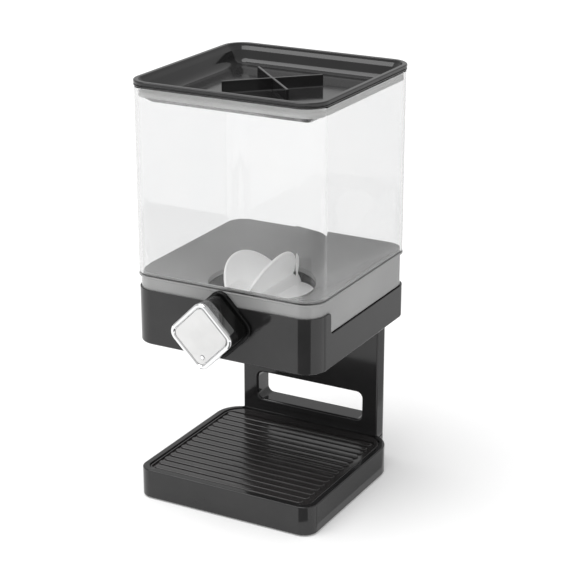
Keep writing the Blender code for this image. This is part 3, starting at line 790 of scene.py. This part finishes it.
def make_wheel():
    """A sleeve with six blades, which are the halves of three discs that cross on the axle."""
    length, axle = WHEEL_HIGH.y, (0, 0, AXLE_Z)
    sleeve, bore, disc_bore, core = 9 * MM, 6.3 * MM, 7.6 * MM, 0.1 * MM
    hub = rounded(
        [
            (sleeve, length, 0.6 * MM),
            (sleeve, -length, 0.6 * MM),
            (bore, -length, 0.3 * MM),
            (bore, length, 0.3 * MM),
        ],
        closed=True,
    )
    wheel = turned("silicone_wheel", hub, axle, True, 64, closed=True)

    root, groove, bead, edge = 7.4 * MM, BLADE_RADIUS - 2.6 * MM, BLADE_RADIUS - 1.4 * MM, BLADE_RADIUS
    half_thick, half_waist = 1.1 * MM, 0.75 * MM
    blade = rounded(
        [
            (root, -half_thick),
            (groove, -half_waist, 1 * MM),
            (bead, -half_thick, 0.6 * MM),
            (edge, -half_thick, 0.9 * MM),
            (edge, half_thick, 0.9 * MM),
            (bead, half_thick, 0.6 * MM),
            (groove, half_waist, 1 * MM),
            (root, half_thick),
        ]
    )
    blade = [(core, -half_thick)] + blade + [(core, half_thick)]
    for number in range(3):
        disc = turned(f"blades_{number}", blade, steps=128)
        stand = Matrix.Rotation(math.radians(BLADE_TURN + 60 * number + 90), 4, "Y")
        disc.data.transform(Matrix.Translation(axle) @ stand)
        cut(disc, turned("inside", [(disc_bore, -45 * MM), (disc_bore, 45 * MM)], axle, True, 64))
        join(wheel, disc)
    finish_piece(wheel, "rotor", "white_silicone", PAINTED_GLOW_SILICONE, "paddle_wheel")


def diamond_plan(half_diagonal, radius, steps=10):
    """The plan of a rounded square, which the knob's pieces turn onto its corner."""
    side = half_diagonal / math.sqrt(2)
    return rectangle(side, -side, side, radius, radius, steps)


def make_knob():
    """A black ring and neck, a tapered chrome bar with a dished front, and a satin inlay with a mark. The ring and
    neck carry painted shade, and the bar's sides a painted dark reflection.
    """
    stand_up = Matrix.Rotation(-math.pi / 2, 4, "X")
    place = Matrix.Translation((0, 0, AXLE_Z)) @ Matrix.Rotation(math.pi / 4, 4, "Y") @ stand_up
    middle, neck_middle = 15 * MM, 12 * MM

    back, front = COLLAR_HIGH.y, COLLAR_LOW.y
    profile = rounded([(middle, back), (0, back, 0.2 * MM), (0, front, 0.8 * MM), (middle, front)])
    collar = moulding("knob_base_ring", diamond_plan(28.2 * MM, 8 * MM), profile, matrix=place)
    # The ring takes the black with painted shade.
    finish_piece(collar, "rotor", "black_plastic", SHADE_PAINTED_BLACK, "knob_collar")

    front_reach, back_reach, recess_reach = 26.5 * 1.028 * MM, 25.4 * MM, 22.8 * MM
    bar_length, chrome_length = 25, 11
    taper = (front_reach - back_reach) / math.sqrt(2)
    seam = taper * chrome_length / bar_length
    plan = diamond_plan(front_reach, 7.4 * MM, 14)
    back, front = STEM_HIGH.y, STEM_LOW.y
    waist = seam + 0.15 * MM
    profile = rounded(
        [
            (neck_middle, back),
            (taper, back, 0.4 * MM),
            (waist, front, 0.3 * MM),
            (neck_middle, front),
        ]
    )
    stem = moulding("knob_neck", plan, profile, matrix=place)
    # The neck also takes the black with painted shade.
    finish_piece(stem, "rotor", "black_plastic", SHADE_PAINTED_BLACK, "knob_stem")

    back, front = KNOB_HIGH.y, KNOB_LOW.y
    inner, recess = (front_reach - recess_reach) / math.sqrt(2), front + 2.0 * MM
    profile = rounded(
        [
            (neck_middle, back),
            (seam, back, 0.5 * MM),
            (0.15 * MM, front + 3.0 * MM, 2 * MM),
            (0, front + 0.9 * MM, 0.8 * MM),
            (1.0 * MM, front, 0.7 * MM),
            (inner - 0.7 * MM, front, 0.35 * MM),
            (inner, front + 0.8 * MM, 0.3 * MM),
            (inner, recess, 0.1 * MM),
            (middle, recess),
        ],
        steps=6,
    )
    body = moulding("knob_bar", plan, profile, matrix=place)
    # Behind its front the bar takes the dark chrome: a painted reflection on its sides.
    side_front = front + 3.6 * MM
    two_tone(body, lambda face: face.center.y > side_front, CHROME, SHADED_CHROME)
    finish_piece(body, "rotor", "chrome_plate", CHROME, "knob_body")

    back, front = FACE_HIGH.y, FACE_LOW.y
    profile = rounded(
        [
            (middle, back),
            (0, back),
            (0, front + 0.1 * MM, 0.5 * MM),
            (3.0 * MM, front, 1 * MM),
            (middle, front),
        ]
    )
    inlay = moulding("knob_inlay", diamond_plan(22.4 * MM, 4.7 * MM, 12), profile, matrix=place)
    centre = ((MARK_LOW.x + MARK_HIGH.x) / 2, 0, (MARK_LOW.z + MARK_HIGH.z) / 2)
    mark_radius = 1.8 * MM
    mark_ends = [(mark_radius, front - 2 * MM), (mark_radius, back + 1 * MM)]
    cut(inlay, turned("mark_hole", mark_ends, centre, True, 32))
    finish_piece(inlay, "rotor", "satin_chrome", SATIN, "knob_face")


make_canister()
make_funnel()
make_lid()
make_gasket()
make_housing()
make_base()
make_tray()
make_column()
make_wheel()
make_knob()


# --- CAD nodes that stay --------------------------------------------------------------------------

SLOT_LOOKS = {
    "black_plastic": BLACK,
    "clear_plastic": CLEAR,
    "smoke_plastic": SMOKE,
    "white_silicone": PAINTED_GLOW_SILICONE,
    "grey_silicone": GASKET,
    "chrome_plate": CHROME,
    "satin_chrome": SATIN,
    "bearing_plastic": BEARING,
    "steel": STEEL,
    "foot_rubber": RUBBER,
}
for part in frame["record"]["subparts"]:
    node = frame["nodes"][part["node"]]
    node.data.materials.clear()
    node.data.materials.append(SLOT_LOOKS[part["material_slot"]])


# --- Studio ---------------------------------------------------------------------------------------


def matt(name, grey, roughness):
    """A plain material for the studio, and its shader."""
    look = bpy.data.materials.new(name)
    look.use_nodes = True
    shader = look.node_tree.nodes["Principled BSDF"]
    shader.inputs["Base Color"].default_value = (grey, grey, grey, 1)
    shader.inputs["Roughness"].default_value = roughness
    return look, shader


def make_floor():
    """A wide floor that glows a little, which keeps it white and its shadows soft."""
    shape = bmesh.new()
    bmesh.ops.create_grid(shape, x_segments=4, y_segments=4, size=30)
    floor = from_shape("studio_floor", shape)
    look, shader = matt("studio_white", 0.9, 0.9)
    shader.inputs["Specular IOR Level"].default_value = 0.1
    shader.inputs["Emission Color"].default_value = (1, 1, 1, 1)
    shader.inputs["Emission Strength"].default_value = 0.19
    floor.data.materials.append(look)


def make_card(name, outline, grey):
    """A card just above the floor, which only reflections show: its grey is a painted reflection in the glossy
    parts.
    """
    shape = bmesh.new()
    shape.faces.new([shape.verts.new((x, y, 0.5 * MM)) for x, y in outline])
    bmesh.ops.recalc_face_normals(shape, faces=shape.faces)
    card = from_shape(name, shape)
    look, _ = matt(name, grey, 1.0)
    card.data.materials.append(look)
    card.visible_camera = card.visible_diffuse = card.visible_shadow = False
    card.visible_transmission = False


def fan(corner, near, away, spread, steps=8):
    """The outline of a slice of a ring round the corner. Its angles count from -Y towards +X."""
    start, end = spread
    sweeps = [math.radians(start + (end - start) * step / steps) for step in range(steps + 1)]

    def arc(radius):
        return [(corner[0] + radius * math.sin(a), corner[1] - radius * math.cos(a)) for a in sweeps]

    return arc(near) + arc(away)[::-1]


def make_cards():
    """Painted reflections and shade: a dark card before the corner and three greys at the right stand in for a
    studio's dark parts and the floor's shade.
    """
    make_card("card_at_corner", fan((0.066, -0.055), 0.030, 0.62, (-16, 50)), 0.16)
    base_x, column_x, housing_x, end_x, end_y = 0.079, 0.105, 0.2, 1, 1.4
    strips = (
        ("card_beside_base", base_x, column_x, -0.05, -0.03, 0.66),
        ("card_beside_column", column_x, housing_x, 0, 0.07, 0.38),
        ("card_beside_housing", housing_x, end_x, 0.07, 0.6, 0.64),
    )
    for name, left, right, left_y, right_y, grey in strips:
        make_card(name, [(left, left_y), (right, right_y), (right, end_y), (left, end_y)], grey)


def make_studio():
    """An even pale world with one wide lamp overhead."""
    scene = bpy.context.scene
    scene.view_settings.view_transform = "Standard"
    world = bpy.data.worlds.new("studio")
    scene.world = world
    world.use_nodes = True
    background = world.node_tree.nodes["Background"]
    background.inputs["Color"].default_value = (1, 1, 1, 1)
    background.inputs["Strength"].default_value = 0.62
    sun = bpy.data.lights.new("overhead", "SUN")
    sun.energy = 1.7
    sun.angle = math.radians(50)
    lamp = bpy.data.objects.new("overhead", sun)
    lamp.rotation_euler = (math.radians(18), math.radians(-14), 0)
    scene.collection.objects.link(lamp)


def make_camera():
    """A long lens at the front right, above the object and turned down to it."""
    azimuth, elevation = math.radians(28.56), math.radians(19.92)
    place, lens, sensor = (0.59065, -1.04853, 0.59345), 109.68, 36.0
    level = math.cos(elevation)
    back = Vector((math.sin(azimuth) * level, -math.cos(azimuth) * level, math.sin(elevation)))
    data = bpy.data.cameras.new("camera")
    data.lens = lens
    data.sensor_width = sensor
    camera = bpy.data.objects.new("camera", data)
    camera.location = place
    camera.rotation_mode = "QUATERNION"
    camera.rotation_quaternion = (-back).to_track_quat("-Z", "Y")
    bpy.context.scene.collection.objects.link(camera)
    bpy.context.scene.camera = camera


make_floor()
make_cards()
make_studio()
make_camera()
